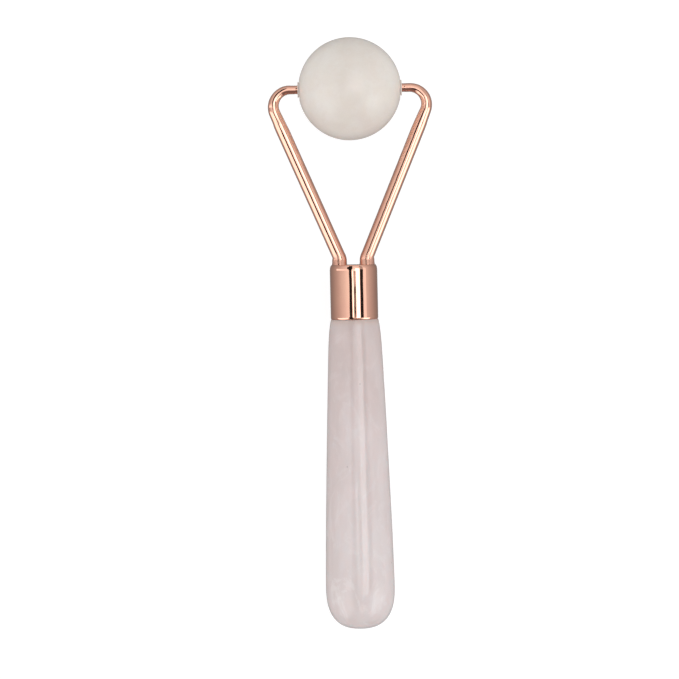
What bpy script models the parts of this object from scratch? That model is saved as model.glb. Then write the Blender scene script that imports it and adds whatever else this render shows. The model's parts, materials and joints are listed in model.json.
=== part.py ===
"""Face roller: a stone ball that spins between the arms of a fork, on a turned rose quartz handle.

Metres, +Z up. The roller lies on a table. The ball and the thick end of the handle touch Z = 0, the fork
lies level, the axle runs along X, and the long axis runs along Y with the ball at +Y.

Each piece is modelled in the fork's own frame: the axle line is X, the handle points along -Y, and the
origin is the middle of the ball. "Reach" is the distance from the axle line towards the handle's end.
The empty "rig" lays the whole roller down, and the empty "roller" turns on the axle.
"""

import math

import bmesh
import bpy
from mathutils import Vector

# Ball: drilled right through, with a small flat ground round each mouth of the bore
BALL_RADIUS = 0.0125
BALL_FLAT = 0.0122  # middle of the ball to each flat
BALL_BORE = 0.00165  # radius
BALL_BANDS = 23  # odd, so that a flat band and no ridge runs round the widest part

# Bushes: one flanged sleeve in each end of the bore
BUSH_FACE = 0.0126  # middle of the ball to the flange's outer face
BUSH_LENGTH = 0.0058
BUSH_BORE = 0.0011  # radius
BUSH_SLEEVE = 0.0016  # radius
FLANGE_RADIUS = 0.0019
FLANGE_THICKNESS = 0.00035

# Arms: a rod that runs from a thin pin in the bush, round an elbow, to a leg in the ferrule
PIN_TIP = 0.0074  # middle of the ball to the pin's end
PIN_RADIUS = 0.00105
ROD_RADIUS = 0.001625
TAPER_LENGTH = 0.013  # along the rod, from the flange's face to its full thickness
ELBOW_START = 0.01454  # middle of the ball to the start of the elbow
ELBOW_RADIUS = 0.004  # of the rod's centre line
ARM_ANGLE = math.radians(22.95)  # each arm to the long axis
LEG_OFFSET = 0.00334  # long axis to the middle of each leg
LEG_BEND_RADIUS = 0.003
LEG_RADIUS = 0.0018  # the rod thickens to this through the bend
FOOT_RADIUS = 0.0019  # of the flared foot that seats on the ferrule's top
FOOT_HEIGHT = 0.0007
SHANK_RADIUS = 0.0015  # of the leg below its foot
LEG_END = 0.0488  # reach
END_CHAMFER = 0.0003
ELBOW_STEPS = 10
LEG_BEND_STEPS = 4

# Ferrule: a thin drawn cap, with two holes for the legs in its top
FERRULE_TOP = 0.04255  # reach
FERRULE_LENGTH = 0.0132
FERRULE_RADIUS = 0.00575
FERRULE_TOP_RADIUS = 0.00527
FERRULE_WALL = 0.0005
FERRULE_TOP_WALL = 0.001
SHOULDER_LENGTH = 0.00145
SHOULDER_STEPS = 6
RIM_LENGTH = 0.0005  # the bottom edge curls in over this length
RIM_CURL = 0.00018
RIM_STEPS = 3
LEG_HOLE = 0.00156  # radius

# Fork root: the plug inside the ferrule that the legs and the tang are brazed into
ROOT_END = 0.0506  # reach
ROOT_LEG_DEPTH = 0.049  # reach of the bottoms of the leg holes
ROOT_TANG_HOLE = 0.0013  # radius
ROOT_TANG_TOP = 0.045  # reach of the top of the tang hole

# Tang: a grooved stud from the root into the handle
TANG_RADIUS = 0.0012
TANG_TOP = 0.0452  # reach
TANG_END = 0.0726  # reach
GROOVE_DEPTH = 0.00018
GROOVE_PITCH = 0.0025
GROOVE_START = 0.0535  # reach of the first groove
GROOVES = 7

# Handle: a spigot inside the ferrule, a short neck, a long taper and a blunt round end
SPIGOT_TOP = 0.0509  # reach
SPIGOT_RADIUS = 0.00485
HANDLE_BORE = 0.0017  # radius
HANDLE_BORE_END = 0.0735  # reach
DRILL_POINT = 0.0008
TAPER_START_RADIUS = 0.00625
HANDLE_RADIUS = 0.00837  # at its thickest
NECK_DROP = 0.00047  # how far the neck falls below the taper at the ferrule
NECK_LENGTH = 0.0024  # over which the neck blends into the taper
HANDLE_LENGTH = 0.0751  # visible, below the ferrule
DOME_LENGTH = 0.0104
TAPER_POWER = 1.25  # over 1 makes the taper flatten towards the thick end
DOME_POWER = 2.6  # 2 is an ellipse, and more is blunter
TAPER_STEPS = 12
DOME_STEPS = 9

# Adhesive: a ring round the spigot and a sleeve round the tang
FIT_GAP = 0.00005  # between pieces that fit together
RING_END = 0.0557  # reach
SLEEVE_END = 0.0728  # reach

SIDES = 48  # round the ball, the ferrule and the handle
SMALL_SIDES = 24  # round bores, bushes and inner pieces
ROD_SIDES = 20
SMOOTH_ANGLE = math.radians(35)

AXLE = Vector((1, 0, 0))
LONG_AXIS = Vector((0, -1, 0))


def clear_scene():
    for obj in list(bpy.data.objects):
        bpy.data.objects.remove(obj, do_unlink=True)


def add_empty(name, parent=None):
    empty = bpy.data.objects.new(name, None)
    empty.empty_display_size = 0.02
    empty.parent = parent
    bpy.context.collection.objects.link(empty)
    return empty


def add_object(name, mesh_data, parent, material=None):
    """Makes an object of a bmesh, with its faces turned outward and its round faces smooth."""
    bmesh.ops.recalc_face_normals(mesh_data, faces=mesh_data.faces)
    mesh = bpy.data.meshes.new(name)
    mesh_data.to_mesh(mesh)
    mesh_data.free()
    mesh.shade_smooth()
    mesh.set_sharp_from_angle(angle=SMOOTH_ANGLE)
    if material:
        mesh.materials.append(material)
    obj = bpy.data.objects.new(name, mesh)
    obj.parent = parent
    bpy.context.collection.objects.link(obj)
    return obj


def turned(outline, axis, sides, closed):
    """Spins an outline of (radius, distance along the axis) points, with a flat side facing down."""
    spun = bmesh.new()
    half_side = math.pi / sides
    out = Vector((0, math.sin(half_side), -math.cos(half_side)))
    if abs(axis.x) < abs(axis.y):
        out = Vector((math.sin(half_side), 0, -math.cos(half_side)))
    verts = [spun.verts.new(out * radius + axis * along) for radius, along in outline]
    ends = verts[1:] + verts[:1] if closed else verts[1:]
    edges = [spun.edges.new(pair) for pair in zip(verts, ends)]
    bmesh.ops.spin(
        spun, geom=verts + edges, cent=(0, 0, 0), axis=axis, angle=math.tau, steps=sides, use_merge=True
    )
    bmesh.ops.remove_doubles(spun, verts=spun.verts, dist=1e-6)
    return spun


def swept(stations, sides):
    """Joins round cross-sections, each a (middle, heading, radius) in the XY plane, and caps both ends."""
    tube = bmesh.new()
    rings = []
    for middle, heading, radius in stations:
        across = Vector((-heading.y, heading.x, 0))
        ring = []
        for i in range(sides):
            angle = math.tau * (i + 0.5) / sides
            offset = across * math.cos(angle) + Vector((0, 0, math.sin(angle)))
            ring.append(tube.verts.new(middle + offset * radius))
        rings.append(ring)
    for near, far in zip(rings, rings[1:]):
        for i in range(sides):
            j = (i + 1) % sides
            tube.faces.new((near[i], near[j], far[j], far[i]))
    tube.faces.new(rings[0])
    tube.faces.new(rings[-1])
    return tube


def cut(obj, name, outline, offset, parent):
    """Cuts a round hole along the long axis, at a sideways offset from it."""
    cutter = add_object(name, turned(outline, LONG_AXIS, SMALL_SIDES, closed=False), parent)
    cutter.location.x = offset
    cutter.hide_render = True
    cutter.display_type = "WIRE"
    modifier = obj.modifiers.new(name, "BOOLEAN")
    modifier.operation = "DIFFERENCE"
    modifier.solver = "EXACT"
    modifier.object = cutter


def plain_hole(radius, start, end):
    return [(0, start), (radius, start), (radius, end), (0, end)]


def add_material(name, colour, roughness, metallic=0.0, subsurface=0.0):
    material = bpy.data.materials.new(name)
    material.use_nodes = True
    shader = material.node_tree.nodes["Principled BSDF"]
    shader.inputs["Base Color"].default_value = (*colour, 1.0)
    shader.inputs["Roughness"].default_value = roughness
    shader.inputs["Metallic"].default_value = metallic
    shader.inputs["Subsurface Weight"].default_value = subsurface
    shader.inputs["Subsurface Scale"].default_value = 0.003
    material.diffuse_color = (*colour, 1.0)
    return material


def white_stone():
    return add_material("white_stone", (0.78, 0.70, 0.63), 0.22, subsurface=0.3)


def bush_nylon():
    return add_material("bush_nylon", (0.62, 0.58, 0.54), 0.45)


def rose_gold(name):
    return add_material(name, (0.87, 0.55, 0.43), 0.12, metallic=1.0)


def braze_metal():
    return add_material("braze_metal", (0.55, 0.42, 0.28), 0.4, metallic=1.0)


def steel():
    return add_material("steel", (0.55, 0.55, 0.56), 0.3, metallic=1.0)


def rose_quartz():
    return add_material("rose_quartz", (0.68, 0.58, 0.57), 0.12, subsurface=0.5)


def epoxy(name):
    return add_material(name, (0.75, 0.70, 0.58), 0.35)


def add_ball(roller):
    widest = math.asin(BALL_FLAT / BALL_RADIUS)
    outline = []
    for i in range(BALL_BANDS + 1):
        latitude = widest * (2 * i / BALL_BANDS - 1)
        outline.append((BALL_RADIUS * math.cos(latitude), BALL_RADIUS * math.sin(latitude)))
    outline += [(BALL_BORE, BALL_FLAT), (BALL_BORE, -BALL_FLAT)]
    return add_object("roller_ball", turned(outline, AXLE, SIDES, closed=True), roller, white_stone())


def add_bush(side_name, side, roller):
    inner_end = BUSH_FACE - BUSH_LENGTH
    flange_back = BUSH_FACE - FLANGE_THICKNESS
    outline = [
        (BUSH_BORE, BUSH_FACE),
        (FLANGE_RADIUS, BUSH_FACE),
        (FLANGE_RADIUS, flange_back),
        (BUSH_SLEEVE, flange_back),
        (BUSH_SLEEVE, inner_end),
        (BUSH_BORE, inner_end),
    ]
    bush = turned(outline, AXLE * side, SMALL_SIDES, closed=True)
    return add_object("bush_" + side_name, bush, roller, bush_nylon())


def rod_radius(along):
    """Radius at a distance along the rod from the flange's face: the pin swells evenly to full thickness."""
    swell = min(max(along / TAPER_LENGTH, 0), 1)
    return PIN_RADIUS + (ROD_RADIUS - PIN_RADIUS) * swell


def arm_stations():
    """The cross-sections of the arm at +X, from the pin's tip to the leg's end."""
    pin_heading = Vector((1, 0, 0))
    leg_heading = Vector((0, -1, 0))
    stations = [
        (Vector((PIN_TIP, 0, 0)), pin_heading, PIN_RADIUS - END_CHAMFER),
        (Vector((PIN_TIP + END_CHAMFER, 0, 0)), pin_heading, PIN_RADIUS),
        (Vector((BUSH_FACE, 0, 0)), pin_heading, PIN_RADIUS),
    ]
    elbow_turn = math.pi / 2 + ARM_ANGLE
    elbow_middle = Vector((ELBOW_START, -ELBOW_RADIUS, 0))
    straight = ELBOW_START - BUSH_FACE
    for i in range(ELBOW_STEPS + 1):
        turn = elbow_turn * i / ELBOW_STEPS
        out = Vector((math.sin(turn), math.cos(turn), 0))
        heading = Vector((math.cos(turn), -math.sin(turn), 0))
        along = straight + ELBOW_RADIUS * turn
        stations.append((elbow_middle + out * ELBOW_RADIUS, heading, rod_radius(along)))

    elbow_end, arm_heading, _ = stations[-1]
    taper_rest = TAPER_LENGTH - straight - ELBOW_RADIUS * elbow_turn
    stations.append((elbow_end + arm_heading * taper_rest, arm_heading, ROD_RADIUS))

    to_corner = (elbow_end.x - LEG_OFFSET) / math.sin(ARM_ANGLE)
    corner = elbow_end + arm_heading * to_corner
    tangent = LEG_BEND_RADIUS * math.tan(ARM_ANGLE / 2)
    bend_middle = Vector((LEG_OFFSET + LEG_BEND_RADIUS, corner.y - tangent, 0))
    for i in range(LEG_BEND_STEPS + 1):
        turn = ARM_ANGLE * (1 - i / LEG_BEND_STEPS)
        out = Vector((-math.cos(turn), math.sin(turn), 0))
        heading = Vector((-math.sin(turn), -math.cos(turn), 0))
        radius = ROD_RADIUS + (LEG_RADIUS - ROD_RADIUS) * i / LEG_BEND_STEPS
        stations.append((bend_middle + out * LEG_BEND_RADIUS, heading, radius))

    foot_end = FIT_GAP - FERRULE_TOP
    for height, share in ((1, 0), (0.4, 0.3), (0, 1)):
        middle = Vector((LEG_OFFSET, foot_end + FOOT_HEIGHT * height, 0))
        stations.append((middle, leg_heading, LEG_RADIUS + (FOOT_RADIUS - LEG_RADIUS) * share))
    stations += [
        (Vector((LEG_OFFSET, foot_end, 0)), leg_heading, SHANK_RADIUS),
        (Vector((LEG_OFFSET, END_CHAMFER - LEG_END, 0)), leg_heading, SHANK_RADIUS),
        (Vector((LEG_OFFSET, -LEG_END, 0)), leg_heading, SHANK_RADIUS - END_CHAMFER),
    ]
    return stations


def add_arm(side_name, side, rig):
    stations = []
    for middle, heading, radius in arm_stations():
        mirrored = Vector((middle.x * side, middle.y, 0))
        turned_heading = Vector((heading.x * side, heading.y, 0))
        stations.append((mirrored, turned_heading, radius))
    return add_object("arm_" + side_name, swept(stations, ROD_SIDES), rig, rose_gold("arm_gold"))


def add_ferrule(rig):
    bottom = FERRULE_TOP + FERRULE_LENGTH
    inside = FERRULE_RADIUS - FERRULE_WALL
    outline = [(0, FERRULE_TOP)]
    for i in range(SHOULDER_STEPS + 1):
        turn = math.pi / 2 * i / SHOULDER_STEPS
        radius = FERRULE_TOP_RADIUS + (FERRULE_RADIUS - FERRULE_TOP_RADIUS) * math.sin(turn)
        outline.append((radius, FERRULE_TOP + SHOULDER_LENGTH * (1 - math.cos(turn))))
    for i in range(RIM_STEPS + 1):
        turn = math.pi / 2 * i / RIM_STEPS
        radius = FERRULE_RADIUS - RIM_CURL * (1 - math.cos(turn))
        outline.append((radius, bottom - RIM_LENGTH * (1 - math.sin(turn))))
    outline += [
        (inside, bottom),
        (inside, FERRULE_TOP + FERRULE_TOP_WALL),
        (0, FERRULE_TOP + FERRULE_TOP_WALL),
    ]
    shell = turned(outline, LONG_AXIS, SIDES, closed=False)
    ferrule = add_object("ferrule", shell, rig, rose_gold("ferrule_gold"))
    hole = plain_hole(LEG_HOLE, FERRULE_TOP - FERRULE_TOP_WALL, FERRULE_TOP + 2 * FERRULE_TOP_WALL)
    cut(ferrule, "ferrule_hole_left", hole, -LEG_OFFSET, rig)
    cut(ferrule, "ferrule_hole_right", hole, LEG_OFFSET, rig)
    return ferrule


def add_fork_root(rig):
    top = FERRULE_TOP + FERRULE_TOP_WALL + FIT_GAP
    radius = FERRULE_RADIUS - FERRULE_WALL - FIT_GAP
    outline = plain_hole(radius, top, ROOT_END)
    root = add_object("fork_root", turned(outline, LONG_AXIS, SIDES, closed=False), rig, braze_metal())
    leg_hole = plain_hole(LEG_HOLE, top - FERRULE_TOP_WALL, ROOT_LEG_DEPTH)
    cut(root, "root_hole_left", leg_hole, -LEG_OFFSET, rig)
    cut(root, "root_hole_right", leg_hole, LEG_OFFSET, rig)
    tang_hole = plain_hole(ROOT_TANG_HOLE, ROOT_TANG_TOP, ROOT_END + FERRULE_TOP_WALL)
    cut(root, "root_hole_tang", tang_hole, 0, rig)
    return root


def add_tang(rig):
    core = TANG_RADIUS - GROOVE_DEPTH
    outline = [(0, TANG_TOP), (TANG_RADIUS, TANG_TOP)]
    for i in range(GROOVES):
        start = GROOVE_START + GROOVE_PITCH * i
        outline += [
            (TANG_RADIUS, start),
            (core, start + GROOVE_DEPTH),
            (core, start + 3 * GROOVE_DEPTH),
            (TANG_RADIUS, start + 4 * GROOVE_DEPTH),
        ]
    outline += [
        (TANG_RADIUS, TANG_END - END_CHAMFER),
        (TANG_RADIUS - END_CHAMFER, TANG_END),
        (0, TANG_END),
    ]
    return add_object("tang", turned(outline, LONG_AXIS, ROD_SIDES, closed=False), rig, steel())


def handle_radius(below):
    """Outer radius at a distance below the ferrule."""
    dome_start = HANDLE_LENGTH - DOME_LENGTH
    if below < dome_start:
        widening = 1 - (1 - below / dome_start) ** TAPER_POWER
        taper = TAPER_START_RADIUS + (HANDLE_RADIUS - TAPER_START_RADIUS) * widening
        return taper - NECK_DROP * math.exp(-below / NECK_LENGTH)
    share = min((below - dome_start) / DOME_LENGTH, 1)
    return HANDLE_RADIUS * (1 - share**DOME_POWER) ** (1 / DOME_POWER)


def add_handle(rig):
    ferrule_end = FERRULE_TOP + FERRULE_LENGTH + FIT_GAP
    dome_start = HANDLE_LENGTH - DOME_LENGTH
    levels = [0, 0.3 * NECK_LENGTH, 0.8 * NECK_LENGTH, 1.6 * NECK_LENGTH]
    taper_length = dome_start - levels[-1]
    levels += [levels[-1] + taper_length * i / TAPER_STEPS for i in range(1, TAPER_STEPS + 1)]
    # Steps that shrink towards the tip, as the outline turns fastest there
    levels += [
        dome_start + DOME_LENGTH * math.sin(math.pi / 2 * i / DOME_STEPS) for i in range(1, DOME_STEPS)
    ]
    outline = [
        (0, HANDLE_BORE_END + DRILL_POINT),
        (HANDLE_BORE, HANDLE_BORE_END),
        (HANDLE_BORE, SPIGOT_TOP),
        (SPIGOT_RADIUS, SPIGOT_TOP),
        (SPIGOT_RADIUS, ferrule_end),
    ]
    outline += [(handle_radius(below), ferrule_end + below) for below in levels]
    outline.append((0, ferrule_end + HANDLE_LENGTH))
    return add_object("handle", turned(outline, LONG_AXIS, SIDES, closed=False), rig, rose_quartz())


def add_tube(name, inner, outer, start, end, rig, material):
    outline = [(inner, start), (outer, start), (outer, end), (inner, end)]
    return add_object(name, turned(outline, LONG_AXIS, SMALL_SIDES, closed=True), rig, material)


def add_adhesive(rig):
    # A many-sided tube's flats lie inside its true circle, so each tube keeps twice the gap on its inside.
    ring_outer = FERRULE_RADIUS - FERRULE_WALL - 2 * FIT_GAP
    ring_inner = SPIGOT_RADIUS + 2 * FIT_GAP
    sleeve_start = SPIGOT_TOP + FIT_GAP
    add_tube("ferrule_adhesive", ring_inner, ring_outer, sleeve_start, RING_END, rig, epoxy("ring_epoxy"))
    sleeve_inner = TANG_RADIUS + FIT_GAP
    sleeve_outer = HANDLE_BORE - FIT_GAP
    add_tube("tang_adhesive", sleeve_inner, sleeve_outer, sleeve_start, SLEEVE_END, rig, epoxy("tang_epoxy"))


def lay_down(rig, roller, ball, handle):
    """Tilts the rig until the handle is as low as the ball, and centres the whole over the origin."""
    ball_height = -min(vertex.co.z for vertex in ball.data.vertices)
    touching = []
    for vertex in handle.data.vertices:
        reach, depth = -vertex.co.y, -vertex.co.z
        touching.append(math.asin(ball_height / math.hypot(reach, depth)) - math.atan2(depth, reach))
    tilt = min(touching)
    front = max(vertex.co.y for vertex in ball.data.vertices)
    back = min(
        vertex.co.y * math.cos(tilt) - vertex.co.z * math.sin(tilt) for vertex in handle.data.vertices
    )
    rig.location = (0, -(front + back) / 2, ball_height)
    rig.rotation_euler.x = tilt
    # The ball turns back by the tilt, so that one of its own flats lies on the table.
    roller.rotation_euler.x = -tilt


def main():
    clear_scene()
    rig = add_empty("rig")
    roller = add_empty("roller", rig)
    ball = add_ball(roller)
    handle = add_handle(rig)
    for side_name, side in (("left", -1), ("right", 1)):
        add_bush(side_name, side, roller)
        add_arm(side_name, side, rig)
    add_ferrule(rig)
    add_fork_root(rig)
    add_tang(rig)
    add_adhesive(rig)
    lay_down(rig, roller, ball, handle)


main()
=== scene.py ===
"""Face roller in a plain white studio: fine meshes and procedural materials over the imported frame.

The visible pieces are modelled in the fork's own frame, as in the CAD: the axle line is X, the handle points
along -Y, and the origin is the middle of the ball. "Reach" is the distance from the axle line towards the
handle's end. All lengths are in metres.
"""

import json
import math

import bmesh
import bpy
from mathutils import Matrix, Vector, noise


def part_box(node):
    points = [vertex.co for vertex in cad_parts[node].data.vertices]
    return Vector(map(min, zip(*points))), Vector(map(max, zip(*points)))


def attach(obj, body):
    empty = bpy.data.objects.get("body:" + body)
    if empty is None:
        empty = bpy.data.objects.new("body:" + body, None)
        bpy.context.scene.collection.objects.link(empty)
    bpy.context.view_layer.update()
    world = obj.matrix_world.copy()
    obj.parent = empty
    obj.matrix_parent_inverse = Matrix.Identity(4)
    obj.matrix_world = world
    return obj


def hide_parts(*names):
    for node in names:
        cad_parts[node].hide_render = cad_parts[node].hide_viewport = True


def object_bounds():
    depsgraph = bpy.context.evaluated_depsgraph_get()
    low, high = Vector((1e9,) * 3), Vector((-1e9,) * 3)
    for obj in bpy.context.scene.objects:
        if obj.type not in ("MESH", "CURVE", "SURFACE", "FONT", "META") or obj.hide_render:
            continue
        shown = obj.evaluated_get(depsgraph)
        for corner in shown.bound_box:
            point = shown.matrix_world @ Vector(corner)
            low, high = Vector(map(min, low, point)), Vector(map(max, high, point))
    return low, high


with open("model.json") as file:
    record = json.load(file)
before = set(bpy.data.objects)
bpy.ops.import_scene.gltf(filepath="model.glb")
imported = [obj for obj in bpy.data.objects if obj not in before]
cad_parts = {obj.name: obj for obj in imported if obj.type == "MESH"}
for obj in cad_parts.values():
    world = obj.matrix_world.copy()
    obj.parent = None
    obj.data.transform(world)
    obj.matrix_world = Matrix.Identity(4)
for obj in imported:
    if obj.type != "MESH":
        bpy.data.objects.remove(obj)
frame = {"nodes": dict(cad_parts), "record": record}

CAD_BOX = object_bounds()

# Ball and bushes
BALL_INSET = 0.9999  # the ball is this share of the frame's, to stay inside its box
BALL_FLAT = 0.0122
FLAT_INSET = 0.9985
MOUTH_CHAMFER = 0.00012
BALL_BORE = 0.00165
BUSH_FACE = 0.0126
BUSH_LENGTH = 0.0058
BUSH_BORE = 0.0011
BUSH_SLEEVE = 0.0016
FLANGE_RADIUS = 0.0019
FLANGE_INSET = 0.99
FLANGE_THICKNESS = 0.00035

# Arms
PIN_TIP = 0.0074
PIN_RADIUS = 0.00104
ROD_RADIUS = 0.001605
TAPER_LENGTH = 0.013
ELBOW_START = 0.01454
ELBOW_RADIUS = 0.004
ARM_ANGLE = math.radians(22.95)
LEG_OFFSET = 0.00334
LEG_BEND_RADIUS = 0.003
LEG_RADIUS = 0.00179
FOOT_HEIGHT = 0.0007
FOOT_RADIUS = 0.00189
FOOT_RISE = 0.00205
SHANK_RADIUS = 0.00148
LEG_END = 0.0488
END_CHAMFER = 0.0003

# Ferrule
FERRULE_TOP = 0.04255
FERRULE_LENGTH = 0.0132
FERRULE_RADIUS = 0.00575
FERRULE_TOP_RADIUS = 0.00527
FERRULE_WALL = 0.0005
FERRULE_TOP_WALL = 0.001
SHOULDER_LENGTH = 0.00145
RIM_LENGTH = 0.0005
RIM_CURL = 0.00018
LEG_HOLE = 0.00156
LEG_HOLE_CUT = (0.040, 0.0445)  # reach, through the ferrule's top

# Handle
HANDLE_TOP = 0.0558
SPIGOT_TOP = 0.0509
SPIGOT_RADIUS = 0.00485
HANDLE_BORE = 0.0017
HANDLE_BORE_END = 0.0735
DRILL_POINT = 0.0008
TAPER_START_RADIUS = 0.00625
HANDLE_RADIUS = 0.00837
NECK_DROP = 0.00047
NECK_LENGTH = 0.0024
HANDLE_LENGTH = 0.0751
DOME_LENGTH = 0.0104
TAPER_POWER = 1.25
DOME_POWER = 2.6
HANDLE_INSET = 0.00003
END_INSET = 0.0001

# The frame's turned pieces have 48 sides, and this share of their radius reaches the middle of each flat.
FLAT = math.cos(math.pi / 48)

# Sides of the fine meshes
BALL_SIDES = 160
BUSH_SIDES = 72
ARM_SIDES = 64
FERRULE_SIDES = 144
HANDLE_SIDES = 160
HOLE_SIDES = 48

# Camera
CAMERA_DISTANCE = 0.9
CAMERA_FOCUS = 0.011  # height above the table of the plane that the field is measured in
CAMERA_FIELD = 0.1645  # what the picture takes in at that height
CAMERA_AIM = (-0.00376, -0.00140)
CAMERA_TURN = math.radians(-1.25)

# Studio: brightness by angle from overhead, where 1 is the white table
DOME = (
    (0, 1.05), (25, 1.05), (31, 0.97), (45, 0.82), (65, 0.68),
    (81, 0.55), (99, 0.44), (115, 0.35), (135, 0.27), (180, 0.22),
)
DARK_CARD = 0.022
DARK_RAIL = 0.04
DARK_FRONT = 0.2
BACKDROP_GLOW = 2.0
WARM_TINT = (1, 0.80, 0.78)

TABLE_SIZE = 1.5
TABLE_GAP = 0.00002


def lying_frame():
    """The fork's own frame as it lies on the table, from the axle's place and the handle's direction."""
    axle = Vector(frame["record"]["behaviour"]["joints"][0]["pos_m"])
    down = Vector(frame["record"]["mounts"][0]["axis"]).normalized()
    across = Vector((1, 0, 0))
    up = across.cross(-down)
    turn = Matrix((across, -down, up)).transposed()
    return Matrix.Translation(axle) @ turn.to_4x4()


LYING = lying_frame()
AXLE = Matrix.Translation(LYING.translation)


# ---------------------------------------------------------------- meshes


def add_piece(name, mesh_data, place, body, node, material):
    """Makes an object of a bmesh, with its place in its points, puts it on its body and hides the frame's
    node.
    """
    mesh_data.transform(place)
    bmesh.ops.recalc_face_normals(mesh_data, faces=mesh_data.faces)
    mesh = bpy.data.meshes.new(name)
    mesh_data.to_mesh(mesh)
    mesh_data.free()
    mesh.shade_smooth()
    mesh.set_sharp_from_angle(angle=math.radians(30))
    mesh.materials.append(material)
    piece = bpy.data.objects.new(name, mesh)
    bpy.context.collection.objects.link(piece)
    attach(piece, body)
    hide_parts(node)
    return piece


def turned(outline, sides, about="reach", closed=True):
    """Turns an outline of (radius, distance) points about the long axis or about the axle."""
    shape = bmesh.new()
    rings = []
    for radius, along in outline:
        ring = []
        for i in range(1 if radius == 0 else sides):
            angle = math.tau * i / sides
            side, up = radius * math.sin(angle), radius * math.cos(angle)
            point = (side, -along, up) if about == "reach" else (along, side, up)
            ring.append(shape.verts.new(point))
        rings.append(ring)
    following = rings[1:] + rings[:1] if closed else rings[1:]
    for near, far in zip(rings, following):
        if len(near) == 1 and len(far) == 1:
            continue
        for i in range(sides):
            j = (i + 1) % sides
            corners = [near[i % len(near)], near[j % len(near)], far[j % len(far)], far[i % len(far)]]
            shape.faces.new(list(dict.fromkeys(corners)))
    return shape


def rounded(outline, radius, steps=4):
    """Rounds the marked corners of an outline. Each point is (radius, along, is_rounded)."""
    result = []
    count = len(outline)
    for i, (across, along, soft) in enumerate(outline):
        here = Vector((across, along))
        if not soft:
            result.append((across, along))
            continue
        before = Vector(outline[i - 1][:2])
        after = Vector(outline[(i + 1) % count][:2])
        start = here + (before - here).normalized() * radius
        end = here + (after - here).normalized() * radius
        for k in range(steps + 1):
            t = k / steps
            point = start * (1 - t) ** 2 + here * 2 * t * (1 - t) + end * t**2
            result.append((point.x, point.y))
    return result


def swept(stations, sides):
    """Joins oval cross-sections, each (middle, heading, half width, half height), and caps both ends."""
    tube = bmesh.new()
    rings = []
    for middle, heading, width, height in stations:
        across = Vector((-heading.y, heading.x, 0))
        ring = []
        for i in range(sides):
            angle = math.tau * i / sides
            offset = across * math.cos(angle) * width + Vector((0, 0, math.sin(angle) * height))
            ring.append(tube.verts.new(middle + offset))
        rings.append(ring)
    for near, far in zip(rings, rings[1:]):
        for i in range(sides):
            j = (i + 1) % sides
            tube.faces.new((near[i], near[j], far[j], far[i]))
    tube.faces.new(rings[0])
    tube.faces.new(rings[-1])
    return tube


def waver(shape, depth, size, seed, share=lambda co: 1.0):
    """Presses soft uneven hollows into a surface, as polishing leaves them. It only moves points inward."""
    shape.normal_update()
    moves = []
    for vert in shape.verts:
        value = 0.5 + 0.5 * noise.noise(vert.co / size + Vector((seed, 2.7 * seed, -seed)))
        moves.append(vert.normal * -depth * min(max(value, 0), 1) * share(vert.co))
    for vert, move in zip(shape.verts, moves):
        vert.co += move


def span(start, end, steps):
    """Evenly spaced values from start to end, without the start."""
    return [start + (end - start) * i / steps for i in range(1, steps + 1)]


# ---------------------------------------------------------------- materials


class Nodes:
    """Builds a node tree in few words."""

    def __init__(self, tree):
        self.tree = tree

    def add(self, kind, inputs=None, **settings):
        node = self.tree.nodes.new(kind)
        for key, value in settings.items():
            setattr(node, key, value)
        for key, value in (inputs or {}).items():
            self.put(node.inputs[key], value)
        return node

    def put(self, socket, value):
        if isinstance(value, bpy.types.NodeSocket):
            self.tree.links.new(value, socket)
        else:
            socket.default_value = value

    def calc(self, operation, first, second=0.0):
        node = self.add("ShaderNodeMath", operation=operation)
        self.put(node.inputs[0], first)
        self.put(node.inputs[1], second)
        return node.outputs[0]

    def times(self, first, second):
        return self.calc("MULTIPLY", first, second)

    def plus(self, first, second):
        return self.calc("ADD", first, second)

    def remap(self, value, low, high, to_low=0.0, to_high=1.0, smooth=True):
        node = self.add(
            "ShaderNodeMapRange",
            {"Value": value, "From Min": low, "From Max": high, "To Min": to_low, "To Max": to_high},
            interpolation_type="SMOOTHSTEP" if smooth else "LINEAR",
        )
        return node.outputs["Result"]

    def reach(self, place):
        """Distance from the axle line towards the handle's end."""
        down = -LYING.to_3x3().col[1]
        offset = self.add("ShaderNodeVectorMath", {0: place, 1: LYING.translation}, operation="SUBTRACT")
        along = self.add("ShaderNodeVectorMath", {0: offset.outputs[0], 1: down}, operation="DOT_PRODUCT")
        return along.outputs["Value"]

    def noise(self, size, detail=3.0, roughness=0.5, warp=0.0, stretch=(1, 1, 1), offset=(0, 0, 0)):
        """Cloudy noise whose features are about this size, in metres."""
        place = self.add("ShaderNodeTexCoord").outputs["Object"]
        scale = tuple(s / size for s in stretch)
        mapping = self.add("ShaderNodeMapping", {"Vector": place, "Location": offset, "Scale": scale})
        cloud = self.add("ShaderNodeTexNoise", {
            "Vector": mapping.outputs[0],
            "Scale": 1.0,
            "Detail": detail,
            "Roughness": roughness,
            "Distortion": warp,
        })
        return cloud.outputs["Fac"]

    def mix(self, share, first, second):
        """Mixes two colours. The mixer keeps its colour sockets after those for other kinds of value."""
        node = self.add("ShaderNodeMix", data_type="RGBA")
        self.put(node.inputs[0], share)
        self.put(node.inputs[6], first)
        self.put(node.inputs[7], second)
        return node.outputs[2]

    def bump(self, height, distance, normal=None):
        inputs = {"Height": height, "Distance": distance, "Strength": 1.0}
        if normal:
            inputs["Normal"] = normal
        return self.add("ShaderNodeBump", inputs).outputs["Normal"]


def new_material(name):
    material = bpy.data.materials.new(name)
    material.use_nodes = True
    build = Nodes(material.node_tree)
    shader = material.node_tree.nodes["Principled BSDF"]
    return material, build, shader


def colour(red, green, blue):
    return (red, green, blue, 1.0)


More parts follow.
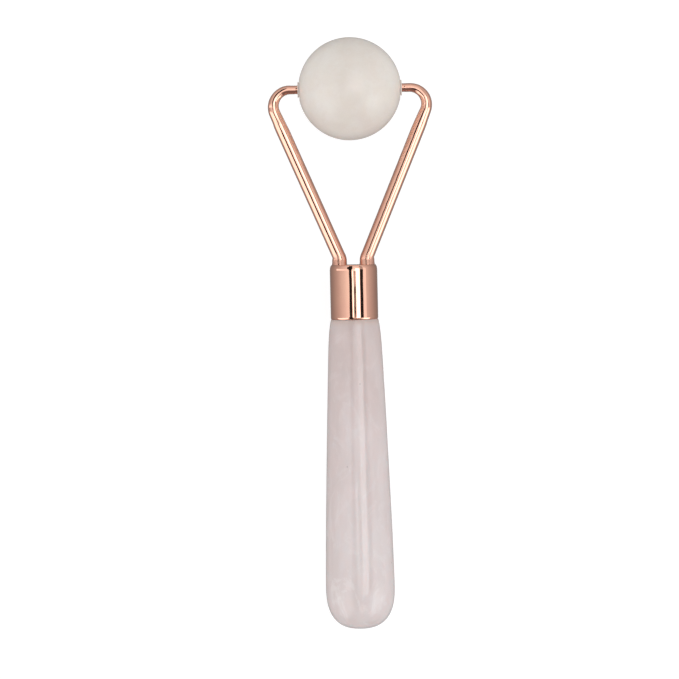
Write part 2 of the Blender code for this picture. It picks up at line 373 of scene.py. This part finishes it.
def white_stone():
    material, build, shader = new_material("cream_stone")
    clouds = build.remap(build.noise(0.007, 4, 0.55, 0.4), 0.3, 0.7)
    veins = build.remap(build.noise(0.0035, 6, 0.6, 1.2, offset=(3, 1, 2)), 0.52, 0.62)
    grain = build.remap(build.noise(0.0005, 3, 0.6), 0.3, 0.7)
    base = build.mix(clouds, colour(0.925, 0.852, 0.784), colour(0.970, 0.909, 0.847))
    base = build.mix(build.times(veins, 0.25), base, colour(0.97, 0.925, 0.88))
    base = build.mix(build.times(grain, 0.10), base, colour(0.76, 0.69, 0.61))
    build.put(shader.inputs["Base Color"], base)
    gloss = build.remap(build.noise(0.002, 4, 0.6, offset=(5, 5, 1)), 0.3, 0.7, 0.19, 0.27)
    build.put(shader.inputs["Roughness"], gloss)
    shader.inputs["IOR"].default_value = 1.5
    shader.inputs["Subsurface Weight"].default_value = 0.35
    shader.inputs["Subsurface Radius"].default_value = (1.0, 0.85, 0.7)
    shader.inputs["Subsurface Scale"].default_value = 0.0022
    ripple = build.bump(build.noise(0.0012, 3, 0.5, offset=(2, 8, 4)), 0.000012)
    build.put(shader.inputs["Normal"], ripple)
    return material


def rose_quartz():
    material, build, shader = new_material("rose_quartz")
    place = build.add("ShaderNodeTexCoord").outputs["Object"]
    reach = build.reach(place)
    clouds = build.remap(build.noise(0.012, 5, 0.55, 0.8, stretch=(1, 0.45, 1)), 0.32, 0.68)
    veils = build.remap(build.noise(0.005, 6, 0.62, 1.8, stretch=(1, 0.6, 1), offset=(4, 2, 7)), 0.50, 0.66)
    wisps = build.remap(build.noise(0.0022, 5, 0.6, 2.4, stretch=(1, 0.3, 1), offset=(1, 9, 3)), 0.56, 0.70)
    base = build.mix(clouds, colour(0.775, 0.677, 0.664), colour(0.845, 0.768, 0.764))
    base = build.mix(build.times(veils, 0.32), base, colour(0.90, 0.835, 0.835))
    base = build.mix(build.times(wisps, 0.22), base, colour(0.92, 0.86, 0.86))
    # Lighter in patches towards the round end
    lighter_end = build.times(build.remap(reach, 0.095, 0.127), build.remap(veils, 0.0, 1.0, 0.25, 0.6))
    base = build.mix(lighter_end, base, colour(0.93, 0.875, 0.87))
    # The metal and glue inside the neck show through as a darker, warmer tone that fades down the handle.
    neck = build.remap(reach, HANDLE_TOP - 0.010, HANDLE_TOP + 0.032, 0.55, 0.0)
    base = build.mix(neck, base, colour(0.640, 0.515, 0.490))
    # Painted shade with a painted copper glow from the gold ferrule: a darker, coppery band just under the
    # ferrule's rim.
    painted_shade_under_ferrule = build.remap(reach, HANDLE_TOP, HANDLE_TOP + 0.0018, 0.45, 0.0)
    base = build.mix(painted_shade_under_ferrule, base, colour(0.74, 0.50, 0.41))
    specks = build.add("ShaderNodeTexVoronoi", {"Vector": place, "Scale": 150.0}, feature="F1")
    dots = build.remap(specks.outputs["Distance"], 0.02, 0.045, 0.35, 0.0)
    base = build.mix(dots, base, colour(0.33, 0.28, 0.27))
    build.put(shader.inputs["Base Color"], base)
    gloss = build.remap(build.noise(0.004, 4, 0.6, offset=(6, 1, 5)), 0.3, 0.7, 0.03, 0.07)
    build.put(shader.inputs["Roughness"], gloss)
    shader.inputs["IOR"].default_value = 1.544
    shader.inputs["Subsurface Weight"].default_value = 0.55
    shader.inputs["Subsurface Radius"].default_value = (1.0, 0.72, 0.66)
    shader.inputs["Subsurface Scale"].default_value = 0.0035
    waves = build.bump(build.noise(0.0045, 2, 0.4, stretch=(1, 0.35, 1), offset=(3, 3, 9)), 0.00002)
    pits = build.bump(build.noise(0.0006, 2, 0.5, offset=(8, 2, 2)), 0.000003, normal=waves)
    build.put(shader.inputs["Normal"], pits)
    return material


def rose_gold():
    material, build, shader = new_material("rose_gold")
    tone = build.remap(build.noise(0.004, 3, 0.5), 0.3, 0.7)
    base = build.mix(tone, colour(0.955, 0.550, 0.410), colour(0.930, 0.520, 0.395))
    build.put(shader.inputs["Base Color"], base)
    shader.inputs["Metallic"].default_value = 1.0
    gloss = build.remap(build.noise(0.0015, 4, 0.65, offset=(2, 2, 6)), 0.3, 0.75, 0.035, 0.075)
    # Each arm's foot is duller just above the ferrule, where brazing heated it.
    reach = build.reach(build.add("ShaderNodeTexCoord").outputs["Object"])
    above = build.remap(reach, FERRULE_TOP - 0.0034, FERRULE_TOP - 0.0022)
    heated = build.times(above, build.remap(reach, FERRULE_TOP - 0.0002, FERRULE_TOP, 1.0, 0.0))
    build.put(shader.inputs["Roughness"], build.plus(gloss, build.times(heated, 0.22)))
    hairs = build.noise(0.00035, 2, 0.5, stretch=(1, 0.06, 1), offset=(7, 1, 1))
    build.put(shader.inputs["Normal"], build.bump(hairs, 0.0000012))
    return material


def simple(name, dark, light, size, rough, metallic=0.0, bump=0.00001):
    """A plain material with cloudy colour, uneven gloss and a fine surface."""
    material, build, shader = new_material(name)
    share = build.remap(build.noise(size, 4, 0.6), 0.3, 0.7)
    build.put(shader.inputs["Base Color"], build.mix(share, colour(*dark), colour(*light)))
    gloss = build.remap(build.noise(size * 0.4, 4, 0.6, offset=(4, 4, 4)), 0.3, 0.7, *rough)
    build.put(shader.inputs["Roughness"], gloss)
    shader.inputs["Metallic"].default_value = metallic
    fine = build.noise(size * 0.25, 3, 0.6, offset=(1, 6, 2))
    build.put(shader.inputs["Normal"], build.bump(fine, bump))
    return material


def nylon():
    return simple("white_nylon", (0.80, 0.73, 0.68), (0.86, 0.80, 0.75), 0.0012, (0.38, 0.5))


def braze():
    dull, bright = (0.50, 0.35, 0.20), (0.70, 0.52, 0.33)
    return simple("braze_metal", dull, bright, 0.0012, (0.32, 0.5), metallic=1.0, bump=0.00003)


def steel():
    dull, bright = (0.46, 0.46, 0.47), (0.60, 0.60, 0.61)
    return simple("turned_steel", dull, bright, 0.0008, (0.22, 0.36), metallic=1.0, bump=0.000006)


def epoxy():
    return simple("clear_epoxy", (0.66, 0.60, 0.47), (0.78, 0.73, 0.60), 0.0015, (0.12, 0.25))


def table_white():
    """Underlit white table: partly its own light, so that the shadows on it stay faint."""
    material, build, shader = new_material("table_white")
    tone = build.remap(build.noise(0.05, 3, 0.5), 0.3, 0.7)
    grey = build.mix(tone, colour(0.25, 0.25, 0.25), colour(0.26, 0.26, 0.26))
    build.put(shader.inputs["Base Color"], grey)
    shader.inputs["Roughness"].default_value = 0.9
    shader.inputs["Specular IOR Level"].default_value = 0.0
    shader.inputs["Emission Color"].default_value = (1, 1, 1, 1)
    seen = build.add("ShaderNodeLightPath").outputs["Is Camera Ray"]
    build.put(shader.inputs["Emission Strength"], build.remap(seen, 0, 1, 0.42, 0.86, smooth=False))
    return material


# ---------------------------------------------------------------- pieces


def add_ball(material):
    low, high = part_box("roller_ball")
    radius = BALL_INSET * (high.z - low.z) / 2
    flat = BALL_FLAT * FLAT_INSET
    widest = math.asin(flat / radius)
    outline = []
    for i in range(97):
        latitude = widest * (i / 48 - 1)
        outline.append((radius * math.cos(latitude), radius * math.sin(latitude)))
    outline += [
        (BALL_BORE + MOUTH_CHAMFER, flat),
        (BALL_BORE, flat - MOUTH_CHAMFER),
        (BALL_BORE, MOUTH_CHAMFER - flat),
        (BALL_BORE + MOUTH_CHAMFER, -flat),
    ]
    shape = turned(outline, BALL_SIDES, "axle")
    add_piece("stone_ball", shape, AXLE, "roller", "roller_ball", material)


def add_bush(side_name, side, material):
    flange_back = BUSH_FACE - FLANGE_THICKNESS
    inner_end = BUSH_FACE - BUSH_LENGTH
    radius = FLANGE_RADIUS * FLANGE_INSET
    corners = [
        (BUSH_BORE, BUSH_FACE, True),
        (radius, BUSH_FACE, True),
        (radius, flange_back, True),
        (BUSH_SLEEVE, flange_back, False),
        (BUSH_SLEEVE, inner_end, True),
        (BUSH_BORE, inner_end, True),
    ]
    outline = [(r, along * side) for r, along in rounded(corners, 0.0001)]
    shape = turned(outline, BUSH_SIDES, "axle")
    add_piece(
        "flanged_bush_" + side_name, shape, AXLE, "roller", "bush_" + side_name, material
    )


def rod_radius(along):
    """The rod's radius at this distance from where the pin comes out of the ball."""
    swell = min(max(along / TAPER_LENGTH, 0), 1)
    return PIN_RADIUS + (ROD_RADIUS - PIN_RADIUS) * swell


def arm_stations():
    """The cross-sections of the arm at +X, from the pin's tip to the leg's end."""
    right, down = Vector((1, 0, 0)), Vector((0, -1, 0))
    stations = []

    def station(middle, heading, width, height=None):
        stations.append((middle, heading, width, height or width))

    for along, share in ((0, 0.0), (0.25, 0.6), (0.6, 0.9), (1, 1.0)):
        radius = PIN_RADIUS - END_CHAMFER * (1 - share)
        station(Vector((PIN_TIP + END_CHAMFER * along, 0, 0)), right, radius)
    station(Vector((BUSH_FACE, 0, 0)), right, PIN_RADIUS)
    straight = ELBOW_START - BUSH_FACE
    for along in span(0, straight, 10)[:-1]:
        station(Vector((BUSH_FACE + along, 0, 0)), right, rod_radius(along))

    elbow_turn = math.pi / 2 + ARM_ANGLE
    elbow_middle = Vector((ELBOW_START, -ELBOW_RADIUS, 0))
    for i in range(49):
        turn = elbow_turn * i / 48
        out = Vector((math.sin(turn), math.cos(turn), 0))
        heading = Vector((math.cos(turn), -math.sin(turn), 0))
        station(elbow_middle + out * ELBOW_RADIUS, heading, rod_radius(straight + ELBOW_RADIUS * turn))

    elbow_end, arm_heading = stations[-1][:2]
    corner = elbow_end + arm_heading * ((elbow_end.x - LEG_OFFSET) / math.sin(ARM_ANGLE))
    tangent = LEG_BEND_RADIUS * math.tan(ARM_ANGLE / 2)
    straight_arm = (corner - elbow_end).length - tangent
    for along in span(0, straight_arm, 72)[:-1]:
        radius = rod_radius(straight + ELBOW_RADIUS * elbow_turn + along)
        station(elbow_end + arm_heading * along, arm_heading, radius)

    bend_middle = Vector((LEG_OFFSET + LEG_BEND_RADIUS, corner.y - tangent, 0))
    for i in range(13):
        turn = ARM_ANGLE * (1 - i / 12)
        out = Vector((-math.cos(turn), math.sin(turn), 0))
        heading = Vector((-math.sin(turn), -math.cos(turn), 0))
        width = ROD_RADIUS + (LEG_RADIUS - ROD_RADIUS) * i / 12
        station(bend_middle + out * LEG_BEND_RADIUS, heading, width, ROD_RADIUS)

    leg_start = stations[-1][0].y
    foot_end = -FERRULE_TOP + 0.00002
    for share in span(0, 1, 20):
        y = leg_start + (foot_end - leg_start) * share
        flare = max(0, 1 - (y - foot_end) / FOOT_HEIGHT) ** 2
        width = LEG_RADIUS + (FOOT_RADIUS - LEG_RADIUS) * flare
        height = ROD_RADIUS + (FOOT_RISE - ROD_RADIUS) * share
        station(Vector((LEG_OFFSET, y, 0)), down, width, height)
    station(Vector((LEG_OFFSET, foot_end, 0)), down, SHANK_RADIUS)
    for y in span(foot_end, END_CHAMFER - LEG_END, 4):
        station(Vector((LEG_OFFSET, y, 0)), down, SHANK_RADIUS)
    station(Vector((LEG_OFFSET, -LEG_END, 0)), down, SHANK_RADIUS - END_CHAMFER)
    return stations


def add_arm(side_name, side, seed, material):
    stations = []
    for middle, heading, width, height in arm_stations():
        mirrored = Vector((middle.x * side, middle.y, 0))
        stations.append((mirrored, Vector((heading.x * side, heading.y, 0)), width, height))
    shape = swept(stations, ARM_SIDES)

    def shown(co):
        """All of the bend round the elbow, little of the straight arm, none of the pin and the shank."""
        if abs(co.x) < BUSH_FACE + 0.0003 and co.y > -0.004:
            return 0.0
        if co.y < -FERRULE_TOP + 0.0006:
            return 0.0
        return 1.0 if co.y > -0.009 else 0.35

    def on_elbow(co):
        """Fades out down the straight arm and towards the ball."""
        above_arm = min(max((co.y + 0.010) / 0.002, 0), 1)
        clear_of_ball = min(max((abs(co.x) - BUSH_FACE - 0.001) / 0.002, 0), 1)
        return above_arm * clear_of_ball

    waver(shape, 0.00006, 0.0017, seed, shown)
    waver(shape, 0.00011, 0.0031, seed + 4, on_elbow)
    add_piece("fork_arm_" + side_name, shape, LYING, "grip", "arm_" + side_name, material)


def add_ferrule(material):
    bottom = FERRULE_TOP + FERRULE_LENGTH
    outer = FERRULE_RADIUS * FLAT
    top_radius = FERRULE_TOP_RADIUS * FLAT
    inside = FERRULE_RADIUS - FERRULE_WALL
    outline = [(0, FERRULE_TOP)]
    outline += [(radius, FERRULE_TOP) for radius in span(0, top_radius - 0.0001, 3)]
    for i in range(21):
        turn = math.pi / 2 * i / 20
        radius = top_radius + (outer - top_radius) * math.sin(turn)
        outline.append((radius, FERRULE_TOP + SHOULDER_LENGTH * (1 - math.cos(turn))))
    wall_start = FERRULE_TOP + SHOULDER_LENGTH
    outline += [(outer, reach) for reach in span(wall_start, bottom - RIM_LENGTH, 60)[:-1]]
    for i in range(9):
        turn = math.pi / 2 * i / 8
        radius = outer - RIM_CURL * (1 - math.cos(turn))
        outline.append((radius, bottom - RIM_LENGTH * (1 - math.sin(turn))))
    inner_top = FERRULE_TOP + FERRULE_TOP_WALL
    outline += [(inside, bottom), (inside, inner_top), (0, inner_top)]
    shape = turned(outline, FERRULE_SIDES, closed=False)

    def on_wall(co):
        radius = math.hypot(co.x, co.z)
        return 1.0 if radius > inside + 0.0002 and -co.y > FERRULE_TOP + 0.0005 else 0.0

    waver(shape, 0.00002, 0.003, 5, on_wall)
    piece = add_piece("gold_ferrule", shape, LYING, "grip", "ferrule", material)
    cut_top, cut_bottom = LEG_HOLE_CUT
    outline = [(0, cut_top), (LEG_HOLE, cut_top), (LEG_HOLE, cut_bottom), (0, cut_bottom)]
    for side in (-1, 1):
        hole = turned(outline, HOLE_SIDES, closed=False)
        hole.transform(LYING @ Matrix.Translation((side * LEG_OFFSET, 0, 0)))
        bmesh.ops.recalc_face_normals(hole, faces=hole.faces)
        cut(piece, hole)


def cut(piece, shape):
    """Cuts a shape out of a piece for good."""
    mesh = bpy.data.meshes.new("cutter")
    shape.to_mesh(mesh)
    shape.free()
    cutter = bpy.data.objects.new("cutter", mesh)
    bpy.context.collection.objects.link(cutter)
    modifier = piece.modifiers.new("hole", "BOOLEAN")
    modifier.operation = "DIFFERENCE"
    modifier.solver = "EXACT"
    modifier.object = cutter
    bpy.context.view_layer.update()
    graph = bpy.context.evaluated_depsgraph_get()
    result = bpy.data.meshes.new_from_object(piece.evaluated_get(graph))
    piece.modifiers.clear()
    old = piece.data
    piece.data = result
    bpy.data.meshes.remove(old)
    bpy.data.objects.remove(cutter, do_unlink=True)
    bpy.data.meshes.remove(mesh)


def handle_radius(below):
    """The handle's radius at this distance below the ferrule."""
    dome_start = HANDLE_LENGTH - DOME_LENGTH
    if below < dome_start:
        widening = 1 - (1 - below / dome_start) ** TAPER_POWER
        taper = TAPER_START_RADIUS + (HANDLE_RADIUS - TAPER_START_RADIUS) * widening
        return taper - NECK_DROP * math.exp(-below / NECK_LENGTH)
    share = min((below - dome_start) / DOME_LENGTH, 1)
    return HANDLE_RADIUS * (1 - share**DOME_POWER) ** (1 / DOME_POWER)


def add_handle(material):
    dome_start = HANDLE_LENGTH - DOME_LENGTH
    levels = [0, 0.0002, 0.0005] + span(0.0005, dome_start, 110)
    levels += [dome_start + DOME_LENGTH * math.sin(math.pi / 2 * i / 40) for i in range(1, 40)]
    outline = [
        (0, HANDLE_BORE_END + DRILL_POINT),
        (HANDLE_BORE, HANDLE_BORE_END),
        (HANDLE_BORE, SPIGOT_TOP),
        (SPIGOT_RADIUS - 0.0002, SPIGOT_TOP),
        (SPIGOT_RADIUS, SPIGOT_TOP + 0.0002),
        (SPIGOT_RADIUS, HANDLE_TOP),
        (handle_radius(0) * FLAT - 0.00008, HANDLE_TOP),
    ]
    tip = HANDLE_TOP + HANDLE_LENGTH - END_INSET
    for below in levels:
        outline.append((handle_radius(below) * FLAT - HANDLE_INSET, HANDLE_TOP + max(below, 0.00008)))
    outline = [(radius, min(reach, tip)) for radius, reach in outline]
    outline.append((0, tip))
    shape = turned(outline, HANDLE_SIDES, closed=False)

    def on_skin(co):
        return min(max((-co.y - HANDLE_TOP) / 0.004, 0), 1)

    waver(shape, 0.00005, 0.011, 3, on_skin)
    add_piece("quartz_handle", shape, LYING, "grip", "handle", material)


def dress(node, material):
    """Gives a carried-over frame node its material."""
    for place in frame["nodes"][node].material_slots:
        place.material = material


# ---------------------------------------------------------------- studio


class Dome(Nodes):
    """The light round the roller, laid out by direction in degrees.

    "Side" and "fore" are how far a direction leans from overhead towards +X and +Y, "polar" is its whole
    angle from overhead, and "tilt" is its angle out of the plane across the roller. "Bearing" turns from -Y
    towards +X, so that the jump from 180 to -180 lies at +Y, where there is no panel.
    """

    def __init__(self, tree):
        super().__init__(tree)
        tree.nodes.clear()
        place = self.add("ShaderNodeTexCoord").outputs["Generated"]
        x, y, z = self.add("ShaderNodeSeparateXYZ", {"Vector": place}).outputs
        self.side = self.degrees(self.calc("ARCTAN2", x, z))
        self.fore = self.degrees(self.calc("ARCTAN2", y, z))
        self.polar = self.degrees(self.calc("ARCCOSINE", z))
        self.tilt = self.degrees(self.calc("ARCSINE", y))
        self.bearing = self.degrees(self.calc("ARCTAN2", x, self.times(y, -1.0)))

        ramp_node = self.add("ShaderNodeValToRGB", {"Fac": self.calc("DIVIDE", self.polar, 180.0)})
        ramp = ramp_node.color_ramp
        while len(ramp.elements) < len(DOME):
            ramp.elements.new(0.5)
        for element, (angle, brightness) in zip(ramp.elements, DOME):
            element.position = angle / 180
            element.color = (brightness / 2, brightness / 2, brightness / 2, 1)
        # Doubled back, and a little brighter on the right than on the left
        self.level = self.times(ramp_node.outputs["Color"], self.remap(self.side, -80, 80, 2.07, 2.10))

    def degrees(self, radians):
        return self.times(radians, 180 / math.pi)

    def without(self, mask):
        return self.calc("SUBTRACT", 1.0, mask)

    def between(self, value, low, high, edge=0.7):
        """1 from low to high and 0 elsewhere, with soft edges of this width."""
        rise = self.remap(value, low - edge / 2, low + edge / 2)
        fall = self.remap(value, high - edge / 2, high + edge / 2, 1.0, 0.0)
        return self.times(rise, fall)

    def low_area(self, bearings, polars, edge):
        across = self.between(self.bearing, *bearings, edge)
        return self.times(across, self.between(self.polar, *polars, edge))

    def high_area(self, sides, fores, edge=0.7):
        across = self.between(self.side, *sides, edge)
        return self.times(across, self.between(self.fore, *fores, edge))

    def lay(self, mask, brightness):
        """Lays a panel of one brightness over the dome where the mask is 1."""
        kept = self.times(self.level, self.without(mask))
        self.level = self.plus(kept, self.times(mask, brightness))


def lay_side_panels(dome):
    """A large bright panel low on each side."""
    # Straight out to the left the panel has a gap, so that the ferrule and the handle do not mirror it.
    gap = dome.times(dome.between(dome.tilt, -7, 3, 1.5), dome.between(dome.bearing, -112, -77, 8))
    left = dome.times(dome.low_area(bearings=(-99, -36), polars=(24, 92), edge=11), dome.without(gap))
    right = dome.low_area(bearings=(44, 80), polars=(36, 84), edge=10)
    dome.lay(left, 1.66)
    dome.lay(right, 2.2)
    return dome.calc("MAXIMUM", left, right)


def lay_front(dome):
    """The dark space in front, where the photographer stands."""
    front = dome.low_area(bearings=(-31, 34), polars=(17, 112), edge=6)
    dome.lay(front, DARK_FRONT)
    return front


def lay_flags(dome):
    """A dark flag along each side of the softbox, and a pale strip outside the right one."""
    dome.lay(dome.high_area(sides=(46, 62), fores=(-9, 30), edge=4), 1.12)
    away = dome.calc("ABSOLUTE", dome.fore)
    # Away from the middle the right flag fades to half, and the left one widens.
    right = dome.times(dome.between(dome.side, 30.5, 46), dome.remap(away, 6, 13, 1.0, 0.5))
    wide = dome.times(dome.between(dome.side, -26, -8), dome.remap(away, 3.2, 4.6))
    left = dome.calc("MAXIMUM", dome.between(dome.side, -22.6, -9.6), wide)
    flags = dome.times(dome.plus(left, right), dome.between(dome.fore, -40, 50, 6))
    dome.lay(flags, DARK_CARD)


def lay_softbox(dome):
    """The softbox overhead, two narrow strips of light to its left, and a dark rail across the near strip."""
    strips = dome.plus(dome.between(dome.fore, -4.1, -2.3), dome.between(dome.fore, 1.5, 5))
    box = dome.high_area(sides=(8.8, 28.4), fores=(-13, 16))
    box = dome.plus(box, dome.times(dome.between(dome.side, -8.4, 8.8), strips))
    dome.lay(box, dome.remap(dome.side, 0, 8, 2.1, 2.6))
    rail = dome.times(dome.between(dome.side, -1.4, 10.2), dome.remap(dome.fore, -3.5, -2.8, 1.0, 0.72))
    dome.lay(dome.times(rail, dome.between(dome.fore, -5, -2)), DARK_RAIL)


def lay_cards(dome):
    """Three dark cards round the softbox, which show in the elbows and the pins."""
    for sides, fores in (((-31, -4), (-28, -11.5)), ((14, 34), (-26, -16)), ((-33, -5), (12, 40))):
        dome.lay(dome.high_area(sides, fores), DARK_CARD)


def add_studio():
    """A dome of soft light, bright overhead and dim low down, with panels and dark cards laid in it."""
    world = bpy.data.worlds.new("studio")
    world.use_nodes = True
    bpy.context.scene.world = world
    dome = Dome(world.node_tree)
    panels = lay_side_panels(dome)
    front = lay_front(dome)
    lay_flags(dome)
    lay_softbox(dome)
    lay_cards(dome)

    seen = dome.add("ShaderNodeLightPath").outputs["Is Camera Ray"]
    level = dome.plus(dome.level, dome.times(seen, BACKDROP_GLOW))
    # The dark front and, more weakly, the low parts of the dome between the panels are warm.
    low_warmth = dome.times(dome.remap(dome.polar, 35, 90, 0.0, 0.2), dome.without(panels))
    warmth = dome.calc("MAXIMUM", front, low_warmth)
    tint = dome.mix(warmth, colour(1, 1, 1), colour(*WARM_TINT))
    background = dome.add("ShaderNodeBackground", {"Color": tint, "Strength": level})
    output = dome.add("ShaderNodeOutputWorld")
    dome.tree.links.new(background.outputs[0], output.inputs[0])
    world.cycles.sampling_method = "MANUAL"
    world.cycles.sample_map_resolution = 1024


def add_floor():
    floor_data = bmesh.new()
    bmesh.ops.create_grid(floor_data, x_segments=8, y_segments=8, size=TABLE_SIZE)
    mesh = bpy.data.meshes.new("table_top")
    floor_data.to_mesh(mesh)
    floor_data.free()
    mesh.materials.append(table_white())
    floor = bpy.data.objects.new("table_top", mesh)
    bpy.context.collection.objects.link(floor)
    floor.location.z = CAD_BOX[0].z - TABLE_GAP
    floor.visible_glossy = False


def add_camera():
    """Looks straight down from a long lens, with the roller's long axis almost upright in the picture."""
    camera = bpy.data.cameras.new("camera")
    camera.sensor_width = 36
    camera.lens = camera.sensor_width * CAMERA_DISTANCE / CAMERA_FIELD
    camera.clip_start = 0.01
    camera_object = bpy.data.objects.new("camera", camera)
    bpy.context.collection.objects.link(camera_object)
    camera_object.location = (*CAMERA_AIM, CAMERA_FOCUS + CAMERA_DISTANCE)
    camera_object.rotation_euler = (0, 0, CAMERA_TURN)
    bpy.context.scene.camera = camera_object


def main():
    gold = rose_gold()
    bushes = nylon()
    glue = epoxy()
    add_camera()
    add_ball(white_stone())
    for side_name, side, seed in (("left", -1, 1.3), ("right", 1, 7.9)):
        add_bush(side_name, side, bushes)
        add_arm(side_name, side, seed, gold)
    add_ferrule(gold)
    add_handle(rose_quartz())
    dress("fork_root", braze())
    dress("tang", steel())
    dress("ferrule_adhesive", glue)
    dress("tang_adhesive", glue)
    add_floor()
    add_studio()
    bpy.context.scene.view_settings.view_transform = "Standard"


main()
